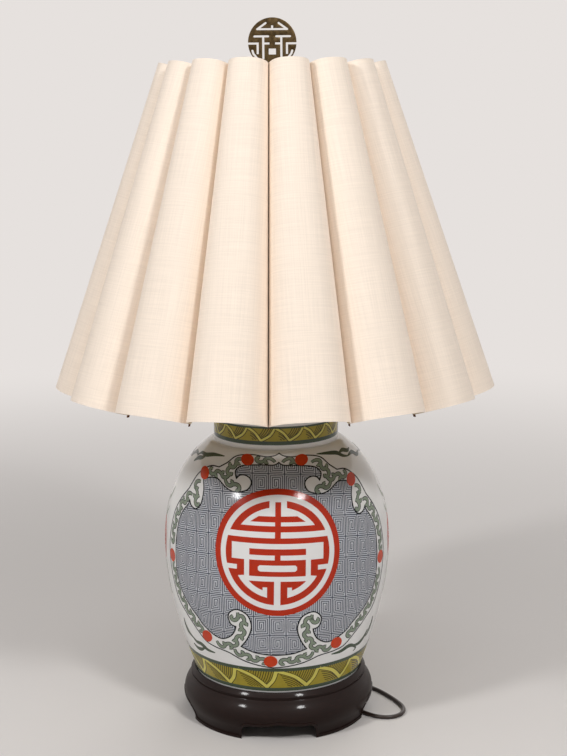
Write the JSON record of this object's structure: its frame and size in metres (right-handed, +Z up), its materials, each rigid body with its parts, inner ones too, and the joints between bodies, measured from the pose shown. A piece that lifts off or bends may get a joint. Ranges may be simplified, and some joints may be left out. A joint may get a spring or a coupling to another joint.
{
  "type": "table lamp",
  "caption": "Table lamp made from a painted lidded porcelain ginger jar on a dark carved wood stand, with a fluted cream linen shade and a pierced brass finial.",
  "frame": {"origin": "middle of the stand's feet, on the table", "axes": "+Z up the lamp's axis, -Y towards the painted front, +X to the right seen from the front"},
  "size_m": [0.4712, 0.4712, 0.762],
  "materials": {
    "rosewood": "dark rosewood under gloss lacquer",
    "porcelain": "white porcelain, clear glaze over painted enamel",
    "steel": "zinc plated",
    "brass": "polished",
    "dark_brass": "dark antique patina",
    "phenolic": "moulded, black",
    "cardboard": "plain board",
    "black_glass": "black vitreous insulator",
    "aluminium": "satin",
    "frosted_glass": "frosted white",
    "linen": "cream linen laminated on stiff backing",
    "white_wire": "ivory paint",
    "brown_cord": "dark brown flexible vinyl",
    "copper": "bare copper in thin insulation"
  },
  "bodies": {
    "base": {"stand": "rosewood", "jar": "porcelain", "lid": "porcelain", "threaded_pipe": "steel", "stand_washer": "steel", "stand_nut": "steel", "pipe_bushing": "phenolic", "check_ring": "brass", "brass_neck": "brass", "harp_saddle": "steel", "harp": "steel", "harp_stud": "brass", "socket_cap": "brass", "socket_shell": "brass", "socket_liner": "cardboard", "socket_body": "phenolic", "screw_shell": "brass", "centre_contact": "brass", "terminal_screws": "brass", "inner_lead": "brown_cord", "lead_conductors": "copper", "cord_lead": "brown_cord", "cord_coil": "brown_cord", "coil_tie": "brown_cord", "plug": "brown_cord", "plug_blades": "brass"},
    "shade": {"shade_fabric": "linen", "shade_spider": "white_wire", "shade_top_ring": "white_wire", "shade_bottom_ring": "white_wire"},
    "finial_nut": {"finial_base": "dark_brass"},
    "finial_top": {"finial_medallion": "dark_brass"},
    "bulb_foot": {"bulb_contact": "brass"},
    "bulb": {"bulb_insulator": "black_glass", "bulb_cap": "aluminium", "bulb_glass": "frosted_glass"},
    "switch": {"switch_shaft": "brass", "switch_knob": "phenolic"},
    "sleeve_left": {"harp_sleeve_left": "brass"},
    "sleeve_right": {"harp_sleeve_right": "brass"}
  },
  "joints": [
    {"name": "shade_turn", "type": "hinge", "parent": "base", "child": "shade", "pos_m": [0, 0, 0.7005], "axis": [0, 0, 1], "continuous": true},
    {"name": "finial_rise", "type": "slide", "parent": "base", "child": "finial_nut", "axis": [0, 0, 1], "range_m": [0, 0.0085]},
    {"name": "finial_turn", "type": "hinge", "parent": "finial_nut", "child": "finial_top", "pos_m": [0, 0, 0.7024], "axis": [0, 0, 1], "range_deg": [0, 3240]},
    {"name": "bulb_rise", "type": "slide", "parent": "base", "child": "bulb_foot", "axis": [0, 0, 1], "range_m": [0, 0.0109]},
    {"name": "bulb_turn", "type": "hinge", "parent": "bulb_foot", "child": "bulb", "pos_m": [0, 0, 0.4363], "axis": [0, 0, 1], "range_deg": [0, 1080]},
    {"name": "switch_turn", "type": "hinge", "parent": "base", "child": "switch", "pos_m": [0, -0.03, 0.4206], "axis": [0, -1, 0], "continuous": true},
    {"name": "sleeve_left_rise", "type": "slide", "parent": "base", "child": "sleeve_left", "axis": [0, 0, 1], "range_m": [0, 0.012]},
    {"name": "sleeve_right_rise", "type": "slide", "parent": "base", "child": "sleeve_right", "axis": [0, 0, 1], "range_m": [0, 0.012]}
  ],
  "couplings": [
    {"joint": "finial_rise", "follows": "finial_turn", "m_per_rad": 0.00014972},
    {"joint": "bulb_rise", "follows": "bulb_turn", "m_per_rad": 0.00057757}
  ]
}
